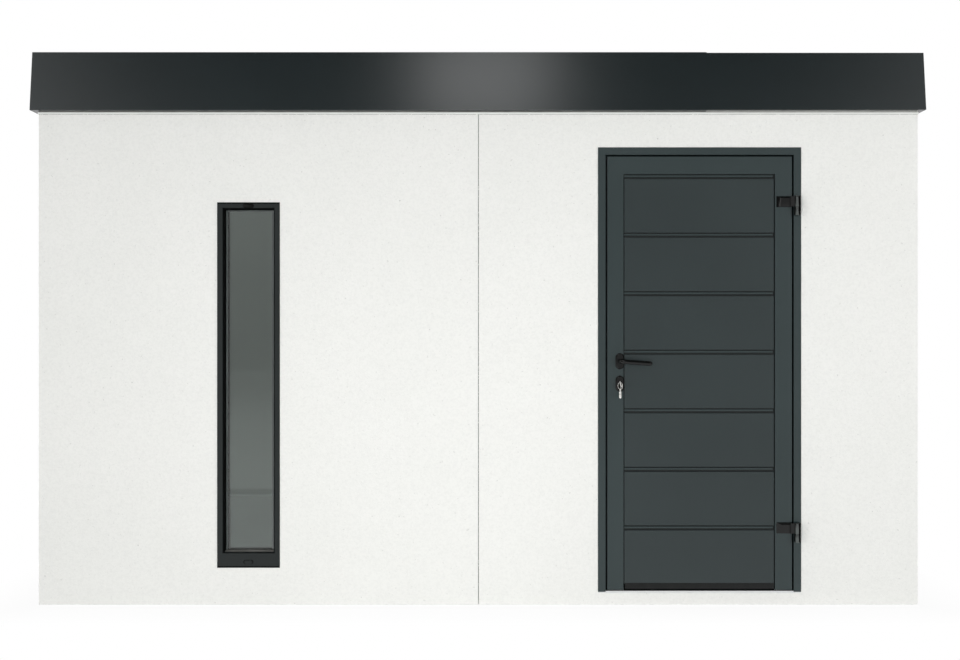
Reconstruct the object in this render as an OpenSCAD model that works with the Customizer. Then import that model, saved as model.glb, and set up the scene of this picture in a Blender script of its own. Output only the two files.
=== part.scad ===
// Garden cabin: rendered wall panels round a floor slab, a flat roof behind a folded metal
// fascia, a narrow fixed window and an outward opening door with a lever handle.
// The origin is on the ground at the middle of the walls. The front faces -Y.

/* [Walls] */
// Width over the outer wall faces
cabin_w = 4000; // [3800:10:4400]
// Depth over the outer wall faces
cabin_d = 3000; // [2400:10:3600]
// Height of the wall panels
wall_h = 2300; // [2250:5:2400]
// Thickness of a wall panel
wall_t = 80; // [74:1:100]
// Joint between the two panels of one wall
panel_gap = 3.5; // [2:0.5:8]
// Depth of that joint in front of its seal
joint_depth = 8; // [4:1:15]
// Thickness of the floor slab between the walls
floor_t = 54.5; // [40:0.5:65]

/* [Roof] */
// Thickness of the roof deck on the walls
deck_t = 100; // [60:1:120]
// Thickness of the kerbs round the roof's edge
kerb_t = 60; // [40:1:80]
// Thickness of the roof membrane
membrane_t = 2; // [1:0.5:4]

/* [Fascia] */
// Height of the fascia's outer face
fascia_h = 260; // [240:1:300]
// How far the fascia hangs below the top of the walls
fascia_drop = 53; // [30:1:70]
// How far its lower edge stands off the wall
fascia_foot = 28; // [22:1:40]
// How far its upper edge stands off the wall
fascia_head = 19; // [12:1:21]
// Thickness of the folded sheet
sheet_t = 2; // [1:0.5:2.5]
// Height of the fold behind the kerb
lip_h = 25; // [15:1:40]
// Distance from the cabin's middle to the lap in the front and back fascia
lap_x = 1035; // [800:5:1300]
// Length over which the long piece laps the short one
lap_len = 60; // [40:1:100]
// Clearance between the lapped sheets
lap_gap = 0.3; // [0.1:0.1:0.5]

/* [Window] */
// Distance from the left corner to the window frame
window_from_corner = 812; // [500:1:1000]
// Width over the window frame
window_w = 285; // [240:1:500]
// Height of the frame's foot above the ground
window_z = 168; // [120:1:400]
// Height over the window frame
window_h = 1663; // [1400:1:1700]
// How far the frame stands in front of the wall
window_proud = 3; // [1:0.5:6]
// Face width of the sides and head
window_side_w = 28; // [24:1:40]
// Face width of the sill member
window_sill_w = 66; // [50:1:90]
// Bevel round the inner edge of the frame's face
window_bevel = 6; // [3:1:9]
// Depth from the frame's face to the glass
window_reveal = 52; // [40:1:54]
// Thickness of the sealed glass unit
glass_t = 24; // [16:1:24]
// How far the glass reaches behind the frame
glass_lap = 14; // [8:1:18]
// Clearance between the glass unit's edge and the frame
glass_gap = 0.3; // [0.1:0.1:0.5]
// Width of the glazing bead in front of the glass
bead_w = 4; // [3:1:8]
// Depth of that bead
bead_t = 10; // [6:1:14]
// Width of the oval caps on the head and the sill
cap_w = 50; // [30:1:60]
// Height of those caps
cap_h = 17; // [8:1:18]
// Thickness of those caps
cap_t = 3; // [2:0.5:5]
// Height of the lower cap's middle above the frame's foot
sill_cap_z = 25; // [15:1:35]

/* [Door frame] */
// Distance from the door frame to the right corner
door_from_corner = 531; // [400:1:650]
// Width over the door frame
door_w = 924; // [880:1:1000]
// Height of the frame's top above the ground
door_top = 2081; // [2040:1:2150]
// How far the frame and the leaf stand in front of the wall
door_proud = 3; // [1:0.5:6]
// Face width of the frame
jamb_w = 34; // [28:1:45]
// How far the stop reaches behind the leaf
stop_lap = 12; // [8:1:20]
// Thickness of the threshold plate
threshold_t = 4; // [3:0.5:6]
// Height of the threshold's upstand behind the leaf
upstand_h = 12; // [8:1:20]
// Thickness of that upstand
upstand_t = 8; // [5:1:12]

/* [Leaf] */
// Thickness of the leaf
leaf_t = 45; // [40:1:48]
// Gap between the leaf and the frame's sides and head
leaf_gap = 8; // [7.5:0.5:10]
// Gap under the leaf
leaf_foot_gap = 5.5; // [5:0.5:8]
// Gap between the leaf's back and the stop
stop_gap = 5.5; // [5:0.5:7]
// Width of the stiles and of the top rail
stile_w = 77.5; // [70:0.5:95]
// Number of planks
plank_count = 7; // [5:1:9]
// Width of the groove over each plank
groove_w = 19; // [12:1:26]
// Depth of those grooves
groove_d = 9; // [6:1:12]
// How far the planks lie behind the stiles' face
plank_recess = 2; // [1:0.5:4]
// Height of the seal under the planks
seal_h = 33; // [20:1:45]
// How far the seal lies behind the stiles' face
seal_recess = 12; // [8:1:18]

/* [Hinges] */
// Distance from the leaf's edge to the hinge axis
hinge_out = 18; // [14:0.5:20]
// Distance from the leaf's face forward to the hinge axis
hinge_proud = 19; // [19:0.5:21]
// Radius of the knuckles
knuckle_r = 13.5; // [11:0.5:13.5]
// Radius of the pin
pin_r = 7; // [5:0.5:8]
// Play between the pin and the leaf's knuckle
pin_play = 0.05; // [0.02:0.01:0.08]
// Gap between the two knuckles of a hinge
knuckle_gap = 0.5; // [0.3:0.1:1]
// Width of the wing on the leaf
wing_w = 71; // [50:1:76]
// Thickness of the wing
wing_t = 12; // [8:1:14]
// Thickness of the arm from the wing to its knuckle
arm_t = 11; // [9:0.5:12]
// Height of the wing and of its knuckle
wing_h = 50; // [40:1:60]
// Height of the frame's knuckle below it
frame_knuckle_h = 38; // [30:1:50]
// Distance from the jamb's inner edge to the lug that carries the frame's knuckle
lug_in = 1; // [0.5:0.5:4]
// Width of that lug
lug_w = 20; // [14:1:24]
// Distance from the leaf's top to the middle of the upper wing
hinge_from_top = 205.5; // [120:0.5:300]
// Distance from the leaf's foot to the middle of the lower wing
hinge_from_foot = 286.5; // [200:0.5:400]

/* [Handle] */
// Height of the lever's axis above the leaf's foot
handle_h = 1044; // [950:1:1100]
// Distance from the leaf's lock edge to the lever's axis
handle_in = 57; // [50:0.5:58]
// Width of the roses
rose_w = 39; // [30:1:40]
// Height of the roses
rose_h = 73; // [60:1:78]
// Thickness of the roses
rose_t = 9; // [7:1:12]
// Radius of the lever's neck
neck_r = 11; // [9:0.5:12]
// Play between the neck and its rose
neck_play = 0.05; // [0.02:0.01:0.08]
// Gap between the neck's end and the leaf's face
neck_gap = 0.5; // [0.3:0.1:1]
// Distance from the leaf's face to the middle of the grip
grip_out = 50; // [42:1:60]
// Radius of the grip
grip_r = 10.5; // [8:0.5:11]
// Distance from the lever's axis to the grip's tip
grip_len = 141; // [110:1:160]
// Angle by which the grip hangs below the level
grip_droop = 4; // [0:0.5:6]
// Width of the square spindle through the leaf
spindle_w = 8; // [7:0.5:9]
// Clearance round the spindle in the stile
spindle_gap = 2; // [1:0.5:3]

/* [Lock and keys] */
// Distance from the lever's axis down to the lock's axis
lock_drop = 102; // [92:1:120]
// Radius of the round part of the lock's profile
lock_r = 8.5; // [8:0.5:9]
// Width of the tongue under it
tongue_w = 10; // [9:0.5:11]
// Distance from the lock's axis to the middle of the tongue's round end
tongue_h = 19.5; // [17:0.5:21]
// Clearance round the lock in the stile and the roses
lock_gap = 0.3; // [0.2:0.1:0.5]
// How far the lock stands out of its roses
lock_proud = 3; // [1:0.5:5]
// Angle by which the key stands turned in the lock
key_turn = 12; // [0:1:12]
// Thickness of a key
key_t = 2.4; // [2:0.1:3]
// Height of a key's blade
blade_h = 8; // [6:0.5:9]
// Length of a key's blade
blade_len = 24; // [20:1:30]
// Clearance round the blade in the keyway
keyway_gap = 0.3; // [0.2:0.1:0.4]
// Radius of a key's bow
bow_r = 12.5; // [11:0.5:14]
// Distance from the middle of the bow to its hole
bow_hole_out = 5.5; // [4.5:0.5:6]
// Radius of that hole
bow_hole_r = 3.5; // [3:0.5:4]
// Radius of the key ring to the middle of its wire
ring_r = 13; // [11:0.5:15]
// Radius of that wire
wire_r = 1.1; // [0.8:0.1:1.3]
// Clearance between the wire and the holes that it hangs in
wire_gap = 0.8; // [0.7:0.1:0.9]

/* [Hidden] */
$fn = 64;

// How far a cutting shape runs past the face that it cuts
over = 1;

// Walls and roof
half_w = cabin_w / 2;
half_d = cabin_d / 2;
deck_top = wall_h + deck_t;
fascia_z = wall_h - fascia_drop;
fascia_top = fascia_z + fascia_h;
kerb_top = fascia_top - sheet_t;
// The long pieces are larger all round by one sheet and the lap's clearance
lap_grow = sheet_t + lap_gap;
coping_d = kerb_t + membrane_t;

// Window, measured in the front wall
window_left = -half_w + window_from_corner;
window_face = -half_d - window_proud;
window_depth = wall_t + window_proud;
rebate_w = window_side_w - glass_lap;
sill_rebate_w = window_sill_w - glass_lap;
glass_face = window_face + window_reveal;

// Door frame, leaf and hinge axis, measured in the front wall
door_face = -half_d - door_proud;
frame_back = -half_d + wall_t;
door_right = half_w - door_from_corner;
door_x = door_right - door_w;
threshold_top = floor_t + threshold_t;
leaf_left = door_x + jamb_w + leaf_gap;
leaf_right = door_right - jamb_w - leaf_gap;
leaf_foot = threshold_top + leaf_foot_gap;
leaf_top = door_top - jamb_w - leaf_gap;
leaf_h = leaf_top - leaf_foot;
leaf_back = door_face + leaf_t;
stop_face = leaf_back + stop_gap;
stop_w = jamb_w + leaf_gap + stop_lap;
infill_left = leaf_left + stile_w;
infill_right = leaf_right - stile_w;
infill_w = infill_right - infill_left;
infill_top = leaf_top - stile_w;
seal_top = leaf_foot + seal_h;
plank_pitch = (infill_top - seal_top) / plank_count;
plank_h = plank_pitch - groove_w;
plank_face = door_face + plank_recess;
core_face = plank_face + groove_d;
hinge_x = leaf_right + hinge_out;
hinge_y = door_face - hinge_proud;
hinge_zs = [leaf_foot + hinge_from_foot, leaf_top - hinge_from_top];

// Handle, lock and keys
handle_x = leaf_left + handle_in;
handle_z = leaf_foot + handle_h;
lock_z = handle_z - lock_drop;
spindle_hole_r = spindle_w / sqrt(2) + spindle_gap;
lock_face = door_face - rose_t - lock_proud;
lock_back = leaf_back + rose_t + lock_proud;
bow_y = lock_face - bow_r;
hole_y = bow_y - bow_hole_out;
ring_top = lock_z - bow_hole_r + wire_r + wire_gap;
ring_z = ring_top - ring_r;
spare_hole_z = ring_z - ring_r - bow_hole_r + wire_r + wire_gap;
spare_z = spare_hole_z - bow_hole_out;

render_white = [0.95, 0.95, 0.94];
anthracite = [0.24, 0.26, 0.27];
frame_grey = [0.21, 0.22, 0.22];
seal_black = [0.08, 0.08, 0.08];
nickel = [0.78, 0.77, 0.74];

// A box between two corners
module block(low, high) {
  translate(low) cube(high - low);
}

// A solid that stands on the ground plan p between two heights
module upright(p, z0, z1) {
  translate([0, 0, z0]) linear_extrude(z1 - z0) polygon(p);
}

// A profile p of [y, z] points drawn out along x
module along_x(p, x0, x1) {
  translate([x0, 0, 0]) rotate([90, 0, 90]) linear_extrude(x1 - x0) polygon(p);
}

// A round bar along y
module bar_y(x, z, r, y0, y1) {
  translate([x, y0, z]) rotate([-90, 0, 0]) cylinder(r = r, h = y1 - y0);
}

// A plate with round top and bottom, standing in the xz plane
module stadium(x, z, w, h, y0, y1) {
  reach = (h - w) / 2;
  block([x - w / 2, y0, z - reach], [x + w / 2, y1, z + reach]);
  for (s = [-1, 1])
    bar_y(x, z + s * reach, w / 2, y0, y1);
}

module floor_slab() {
  color([0.6, 0.6, 0.58])
    block([-half_w + wall_t, -half_d + wall_t, 0], [half_w - wall_t, half_d - wall_t, floor_t]);
}

// Part of the front wall between two x and two z
module front_part(x0, x1, z0, z1) {
  color(render_white) block([x0, -half_d, z0], [x1, -half_d + wall_t, z1]);
}

module front_window_panel() {
  color(render_white) difference() {
    front_part(-half_w, -panel_gap / 2, 0, wall_h);
    block([window_left, -half_d - over, window_z],
      [window_left + window_w, -half_d + wall_t + over, window_z + window_h]);
  }
}

module front_panel_left_of_door() {
  front_part(panel_gap / 2, door_x, 0, wall_h);
}

module front_panel_right_of_door() {
  front_part(door_right, half_w, 0, wall_h);
}

module door_lintel() {
  front_part(door_x, door_right, door_top, wall_h);
}

module door_sill() {
  front_part(door_x, door_right, 0, floor_t);
}

// Half of a side wall: side is -1 left or 1 right, end is -1 front or 1 rear
module side_panel(side, end) {
  color(render_white) mirror([side < 0 ? 1 : 0, 0, 0]) mirror([0, end < 0 ? 1 : 0, 0])
    block([half_w - wall_t, panel_gap / 2, 0], [half_w, half_d - wall_t, wall_h]);
}

// Half of the back wall: side is -1 left or 1 right
module back_panel(side) {
  color(render_white) mirror([side < 0 ? 1 : 0, 0, 0])
    block([panel_gap / 2, half_d - wall_t, 0], [half_w, half_d, wall_h]);
}

// The seal in the joint at the middle of a wall whose face lies half_out from the origin
module joint_seal(half_out) {
  block([-panel_gap / 2, -half_out + joint_depth, 0], [panel_gap / 2, -half_out + wall_t, wall_h]);
}

module panel_joint_seals() {
  color([0.55, 0.55, 0.54])
    for (turn = [0 : 3])
      rotate([0, 0, 90 * turn]) joint_seal(turn % 2 == 0 ? half_d : half_w);
}

module roof_deck() {
  color([0.7, 0.71, 0.71]) block([-half_w, -half_d, wall_h], [half_w, half_d, deck_top]);
}

module roof_kerbs() {
  color([0.72, 0.6, 0.42]) for (s = [0, 1]) {
    mirror([0, s, 0]) block([-half_w, half_d - kerb_t, deck_top], [half_w, half_d, kerb_top]);
    mirror([s, 0, 0])
      block([half_w - kerb_t, -half_d + kerb_t, deck_top], [half_w, half_d - kerb_t, kerb_top]);
  }
}

// A tray on the deck, turned up against the kerbs
module roof_membrane() {
  x = half_w - kerb_t;
  y = half_d - kerb_t;
  color([0.3, 0.31, 0.31]) difference() {
    block([-x, -y, deck_top], [x, y, kerb_top]);
    block([-x + membrane_t, -y + membrane_t, deck_top + membrane_t],
      [x - membrane_t, y - membrane_t, kerb_top + over]);
  }
}

// Section of the folded fascia on a wall whose face lies half_out from the origin:
// a flange back to the wall, the leaning face, the coping and a fold behind the kerb
function fascia_section(half_out, grow) = [
  for (p = [
    [0, fascia_z - grow],
    [fascia_foot + grow, fascia_z - grow],
    [fascia_head + grow, fascia_top + grow],
    [-coping_d - sheet_t - grow, fascia_top + grow],
    [-coping_d - sheet_t - grow, fascia_top - lip_h],
    [-coping_d - grow, fascia_top - lip_h],
    [-coping_d - grow, fascia_top + grow - sheet_t],
    [fascia_head + grow - sheet_t, fascia_top + grow - sheet_t],
    [fascia_foot + grow - sheet_t, fascia_z - grow + sheet_t],
    [0, fascia_z - grow + sheet_t]
  ]) [-half_out - p[0], p[1]]
];

// A run of fascia in the front wall's place, between two x. An end at a corner is mitred.
module fascia_run(half_len, half_out, grow, from, to) {
  spread = coping_d + fascia_foot;
  mitre_from = from <= -half_len ? spread : 0;
  mitre_to = to >= half_len ? spread : 0;
  color(anthracite) intersection() {
    along_x(fascia_section(half_out, grow), -half_len - spread, half_len + spread);
    upright([
      [from - mitre_from, -half_out - spread],
      [to + mitre_to, -half_out - spread],
      [to - mitre_to, -half_out + spread],
      [from + mitre_from, -half_out + spread]
    ], fascia_z - 2 * grow - over, fascia_top + 2 * grow + over);
  }
}

module fascia_front_long() {
  fascia_run(half_w, half_d, lap_grow, -half_w, lap_x);
}

module fascia_front_short() {
  fascia_run(half_w, half_d, 0, lap_x - lap_len, half_w);
}

module fascia_left() {
  rotate([0, 0, -90]) fascia_run(half_d, half_w, lap_grow, -half_d, half_d);
}

module fascia_right() {
  rotate([0, 0, 90]) fascia_run(half_d, half_w, 0, -half_d, half_d);
}

module fascia_back_long() {
  rotate([0, 0, 180]) fascia_run(half_w, half_d, lap_grow, -lap_x, half_w);
}

module fascia_back_short() {
  rotate([0, 0, 180]) fascia_run(half_w, half_d, 0, -half_w, -lap_x + lap_len);
}

// Section of a window member, across its width w and into the wall from its face at 0:
// bevelled at the front and rebated behind for the glass
function member_section(w) = [
  [0, 0],
  [w - window_bevel, 0],
  [w, window_bevel],
  [w, window_reveal],
  [w - glass_lap, window_reveal],
  [w - glass_lap, window_depth],
  [0, window_depth]
];

// The sides run the whole height of the window
module window_frame_sides() {
  color(frame_grey) for (s = [0, 1])
    translate([window_left + s * window_w, window_face, 0]) mirror([s, 0, 0])
      upright(member_section(window_side_w), window_z, window_z + window_h);
}

// A head or sill member between the sides: its front part, and its rebated part behind it
module window_rail(w) {
  x0 = window_left + window_side_w;
  x1 = window_left + window_w - window_side_w;
  p = [for (q = member_section(w)) [q[1], q[0]]];
  color(frame_grey) {
    along_x([p[0], p[1], p[2], p[3], [window_reveal, 0]], x0, x1);
    along_x([[window_reveal, 0], p[4], p[5], p[6]], x0 - glass_lap, x1 + glass_lap);
  }
}

module window_frame_head() {
  translate([0, window_face, window_z + window_h]) mirror([0, 0, 1]) window_rail(window_side_w);
}

module window_frame_sill() {
  translate([0, window_face, window_z]) window_rail(window_sill_w);
}

module window_glazing() {
  inset = rebate_w + glass_gap;
  color([0.55, 0.6, 0.6, 0.6])
    block([window_left + inset, glass_face, window_z + sill_rebate_w + glass_gap],
      [window_left + window_w - inset, glass_face + glass_t, window_z + window_h - inset]);
}

// A frame of bars width wide round the inside of an opening, between two y
module window_ring(side, foot, width, y0, y1) {
  difference() {
    block([window_left + side, y0, window_z + foot],
      [window_left + window_w - side, y1, window_z + window_h - side]);
    block([window_left + side + width, y0 - over, window_z + foot + width],
      [window_left + window_w - side - width, y1 + over, window_z + window_h - side - width]);
  }
}

// One bead in front of the glass and one behind it
module window_beads() {
  color(seal_black) {
    window_ring(window_side_w, window_sill_w, bead_w, glass_face - bead_t, glass_face);
    window_ring(rebate_w, sill_rebate_w, glass_lap, glass_face + glass_t,
      window_face + window_depth);
  }
}

module window_caps() {
  x = window_left + window_w / 2;
  z0 = window_z + sill_cap_z;
  z1 = window_z + window_h - window_side_w / 2;
  color(seal_black) for (z = [z0, z1])
    translate([x, 0, z]) rotate([0, 90, 0])
      stadium(0, 0, cap_h, cap_w, window_face - cap_t, window_face);
}

// Ground plan of the lock jamb: the face with the stop behind the leaf
jamb_plan = [
  [0, door_face],
  [jamb_w, door_face],
  [jamb_w, stop_face],
  [stop_w, stop_face],
  [stop_w, frame_back],
  [0, frame_back]
];

module door_frame_lock_jamb() {
  color(anthracite) translate([door_x, 0, 0]) upright(jamb_plan, threshold_top, door_top);
}

module door_frame_hinge_jamb() {
  color(anthracite) translate([door_right, 0, 0]) mirror([1, 0, 0])
    upright(jamb_plan, threshold_top, door_top);
}

// The head between the jambs, with its own stop
module door_frame_head() {
  color(anthracite) {
    block([door_x + jamb_w, door_face, door_top - jamb_w],
      [door_right - jamb_w, stop_face, door_top]);
    block([door_x + stop_w, stop_face, door_top - stop_w],
      [door_right - stop_w, frame_back, door_top]);
  }
}

module door_threshold() {
  color([0.66, 0.67, 0.68]) {
    block([door_x, -half_d, floor_t], [door_right, frame_back, threshold_top]);
    block([door_x + stop_w, stop_face, floor_t],
      [door_right - stop_w, stop_face + upstand_t, threshold_top + upstand_h]);
  }
}

// The frame's knuckle under each wing, with its lug and the pin that the leaf turns on
module hinge_frame_knuckles() {
  color(seal_black) for (z = hinge_zs) {
    knuckle_top = z - wing_h / 2 - knuckle_gap;
    translate([hinge_x, hinge_y, knuckle_top - frame_knuckle_h]) {
      cylinder(r = knuckle_r, h = frame_knuckle_h);
      cylinder(r = pin_r, h = frame_knuckle_h + knuckle_gap + wing_h - 1);
      translate([door_right - jamb_w + lug_in - hinge_x, 0, 0])
        cube([lug_w, hinge_proud, frame_knuckle_h]);
    }
  }
}

// Shape of the lock's profile, grown by a clearance
module lock_profile(gap, y0, y1) {
  bar_y(handle_x, lock_z, lock_r + gap, y0, y1);
  bar_y(handle_x, lock_z - tongue_h, tongue_w / 2 + gap, y0, y1);
  block([handle_x - tongue_w / 2 - gap, y0, lock_z - tongue_h],
    [handle_x + tongue_w / 2 + gap, y1, lock_z]);
}

module leaf_lock_stile() {
  color(anthracite) difference() {
    block([leaf_left, door_face, leaf_foot], [infill_left, leaf_back, leaf_top]);
    bar_y(handle_x, handle_z, spindle_hole_r, door_face - over, leaf_back + over);
    lock_profile(lock_gap, door_face - over, leaf_back + over);
  }
}

module leaf_hinge_stile() {
  color(anthracite)
    block([infill_right, door_face, leaf_foot], [leaf_right, leaf_back, leaf_top]);
}

module leaf_top_rail() {
  color(anthracite)
    block([infill_left, door_face, infill_top], [infill_right, leaf_back, leaf_top]);
}

// The slab behind the planks, which shows at the bottom of the grooves
module leaf_core() {
  color(anthracite)
    block([infill_left, core_face, seal_top], [infill_right, leaf_back, infill_top]);
}

module leaf_planks() {
  color(anthracite) for (i = [0 : plank_count - 1])
    translate([infill_left, plank_face, seal_top + i * plank_pitch])
      cube([infill_w, groove_d, plank_h]);
}

module leaf_bottom_seal() {
  color(seal_black)
    block([infill_left, door_face + seal_recess, leaf_foot], [infill_right, leaf_back, seal_top]);
}

// Each wing lies on the hinge stile and carries a knuckle bored for the pin
module hinge_leaf_wings() {
  color(seal_black) for (z = hinge_zs)
    translate([0, 0, z - wing_h / 2]) difference() {
      union() {
        translate([leaf_right - wing_w, door_face - wing_t, 0]) cube([wing_w, wing_t, wing_h]);
        block([leaf_right - wing_t, hinge_y, 0], [hinge_x, hinge_y + arm_t, wing_h]);
        translate([hinge_x, hinge_y, 0]) cylinder(r = knuckle_r, h = wing_h);
      }
      translate([hinge_x, hinge_y, -over])
        cylinder(r = pin_r + pin_play, h = wing_h + 2 * over);
    }
}

// A rose on each face for the lever, and one for the lock
module handle_roses() {
  color(seal_black) difference() {
    for (y = [door_face - rose_t, leaf_back]) {
      stadium(handle_x, handle_z, rose_w, rose_h, y, y + rose_t);
      stadium(handle_x, lock_z, rose_w, rose_h, y, y + rose_t);
    }
    bar_y(handle_x, handle_z, neck_r + neck_play, door_face - rose_t - over,
      leaf_back + rose_t + over);
    lock_profile(lock_gap, door_face - rose_t - over, leaf_back + rose_t + over);
  }
}

// The lock runs through the leaf, with a keyway from the outside
module lock_cylinder() {
  way_w = key_t + 2 * keyway_gap;
  way_h = blade_h + 2 * keyway_gap;
  color(nickel) difference() {
    lock_profile(0, lock_face, lock_back);
    translate([handle_x, lock_face, lock_z]) rotate([0, -key_turn, 0])
      block([-way_w / 2, -over, -way_h / 2], [way_w / 2, blade_len + keyway_gap, way_h / 2]);
  }
}

// A key with its bow at the origin, its blade along +y and its flat sides facing x
module key() {
  difference() {
    union() {
      translate([-key_t / 2, 0, 0]) rotate([0, 90, 0]) cylinder(r = bow_r, h = key_t);
      block([-key_t / 2, 0, -blade_h / 2], [key_t / 2, bow_r + blade_len, blade_h / 2]);
    }
    translate([-key_t, -bow_hole_out, 0]) rotate([0, 90, 0])
      cylinder(r = bow_hole_r, h = 2 * key_t);
  }
}

// One key in the lock, the ring in its bow, and a spare key that hangs from the ring
module keys() {
  color(nickel) {
    translate([handle_x, bow_y, lock_z]) rotate([0, -key_turn, 0]) key();
    translate([handle_x, hole_y, ring_z]) rotate([90, 0, 0]) rotate_extrude()
      translate([ring_r, 0]) circle(r = wire_r);
    translate([handle_x, hole_y, spare_z]) rotate([-90, 0, 0]) key();
  }
}

// Neck and grip of a lever with its axis along y. The neck starts at the origin and
// runs to -y, and the grip points to +x.
module lever() {
  neck_len = grip_out - neck_gap;
  translate([0, -neck_len, 0]) rotate([-90, 0, 0]) cylinder(r = neck_r, h = neck_len);
  translate([0, -neck_len, 0]) {
    sphere(r = neck_r);
    rotate([0, 90 + grip_droop, 0]) {
      cylinder(r = grip_r, h = grip_len - grip_r);
      translate([0, 0, grip_len - grip_r]) sphere(r = grip_r);
    }
  }
}

// The outside lever carries the spindle
module lever_outside() {
  color(seal_black) translate([handle_x, door_face - neck_gap, handle_z]) {
    lever();
    translate([-spindle_w / 2, 0, -spindle_w / 2])
      cube([spindle_w, leaf_t + 2 * neck_gap, spindle_w]);
  }
}

module lever_inside() {
  color(seal_black) translate([handle_x, leaf_back + neck_gap, handle_z])
    mirror([0, 1, 0]) lever();
}

floor_slab();
front_window_panel();
front_panel_left_of_door();
front_panel_right_of_door();
door_lintel();
door_sill();
side_panel(-1, -1);  // left_wall_front_panel
side_panel(-1, 1);  // left_wall_rear_panel
side_panel(1, -1);  // right_wall_front_panel
side_panel(1, 1);  // right_wall_rear_panel
back_panel(-1);  // back_wall_left_panel
back_panel(1);  // back_wall_right_panel
panel_joint_seals();
roof_deck();
roof_kerbs();
roof_membrane();
fascia_front_long();
fascia_front_short();
fascia_left();
fascia_right();
fascia_back_long();
fascia_back_short();
window_frame_sides();
window_frame_head();
window_frame_sill();
window_glazing();
window_beads();
window_caps();
door_frame_lock_jamb();
door_frame_hinge_jamb();
door_frame_head();
door_threshold();
hinge_frame_knuckles();
leaf_lock_stile();
leaf_hinge_stile();
leaf_top_rail();
leaf_core();
leaf_planks();
leaf_bottom_seal();
hinge_leaf_wings();
handle_roses();
lock_cylinder();
keys();
lever_outside();
lever_inside();
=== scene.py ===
from math import cos, pi, radians, sin, tau

import bmesh
import bpy
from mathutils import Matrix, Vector


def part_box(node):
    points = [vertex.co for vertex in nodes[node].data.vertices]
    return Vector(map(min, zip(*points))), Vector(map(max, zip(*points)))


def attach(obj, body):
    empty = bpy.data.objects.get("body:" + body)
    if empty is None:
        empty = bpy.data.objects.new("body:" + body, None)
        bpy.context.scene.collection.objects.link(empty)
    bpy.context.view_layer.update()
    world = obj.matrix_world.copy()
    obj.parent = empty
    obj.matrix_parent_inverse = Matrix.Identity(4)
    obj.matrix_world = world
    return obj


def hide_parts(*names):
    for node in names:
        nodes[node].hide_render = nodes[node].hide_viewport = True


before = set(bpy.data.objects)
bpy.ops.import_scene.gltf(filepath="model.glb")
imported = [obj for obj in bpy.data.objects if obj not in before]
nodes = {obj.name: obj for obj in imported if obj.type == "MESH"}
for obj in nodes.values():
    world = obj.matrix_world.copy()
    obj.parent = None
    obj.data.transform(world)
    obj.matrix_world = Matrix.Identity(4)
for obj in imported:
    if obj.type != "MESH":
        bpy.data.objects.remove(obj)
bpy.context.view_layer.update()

scene = bpy.context.scene


# small helpers
def toLinear(colour):  # sRGB hex to linear, with a full alpha
    parts = [int(colour[i:i + 2], 16) / 255 for i in (1, 3, 5)]
    return (*(c / 12.92 if c <= 0.04045 else ((c + 0.055) / 1.055) ** 2.4 for c in parts), 1.0)


def addNode(tree, kind, links=None, **settings):  # adds a node with its settings and what feeds it
    made = tree.nodes.new(kind)
    for key, value in settings.items():
        setattr(made, key, value)
    for key, value in (links or {}).items():
        if isinstance(value, bpy.types.NodeSocket):
            tree.links.new(value, made.inputs[key])
        else:
            made.inputs[key].default_value = value
    return made


def newMaterial(name, **sockets):  # even values sit on the shader's own sockets
    material = bpy.data.materials.new(name)
    material.use_nodes = True
    tree = material.node_tree
    shader = tree.nodes["Principled BSDF"]
    for key, value in sockets.items():
        value = toLinear(value) if isinstance(value, str) else value
        shader.inputs[key.replace("_", " ")].default_value = value
    return material, tree, shader, addNode(tree, "ShaderNodeTexCoord").outputs["Object"]


def paintSurface(name, look):
    # clouds of two close colours, a fine grain that lifts the surface, a roughness that drifts
    material, tree, shader, place = newMaterial(
        name, Metallic=look.get("metallic", 0.0), Specular_IOR_Level=look.get("gloss", 0.5))
    stretch = addNode(tree, "ShaderNodeMapping",
                      {"Vector": place, "Scale": look.get("stretch", (1, 1, 1))})
    clouds = addNode(tree, "ShaderNodeTexNoise",
                     {"Vector": stretch.outputs[0], "Scale": 1000 / look["cloudMm"], "Detail": 3.0})
    grain = addNode(tree, "ShaderNodeTexNoise",
                    {"Vector": stretch.outputs[0], "Scale": 1000 / look["grainMm"], "Detail": 2.0})
    mixed = addNode(tree, "ShaderNodeMath", {0: clouds.outputs[0], 1: grain.outputs[0]},
                    operation="ADD")
    spread = addNode(tree, "ShaderNodeMapRange",
                     {"Value": mixed.outputs[0], "From Min": 0.75, "From Max": 1.25})
    tint = addNode(tree, "ShaderNodeMix",
                   {0: spread.outputs[0], 6: toLinear(look["dark"]), 7: toLinear(look["light"])},
                   data_type="RGBA")
    tree.links.new(tint.outputs[2], shader.inputs["Base Color"])
    rough = addNode(tree, "ShaderNodeMapRange", {
        "Value": clouds.outputs[0], "From Min": 0.3, "From Max": 0.7,
        "To Min": look["rough"] - look["drift"], "To Max": look["rough"] + look["drift"]})
    tree.links.new(rough.outputs[0], shader.inputs["Roughness"])
    bump = addNode(tree, "ShaderNodeBump", {
        "Height": grain.outputs[0], "Distance": look["liftMm"] / 1000, "Strength": look["bump"]})
    tree.links.new(bump.outputs[0], shader.inputs["Normal"])
    return material


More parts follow.
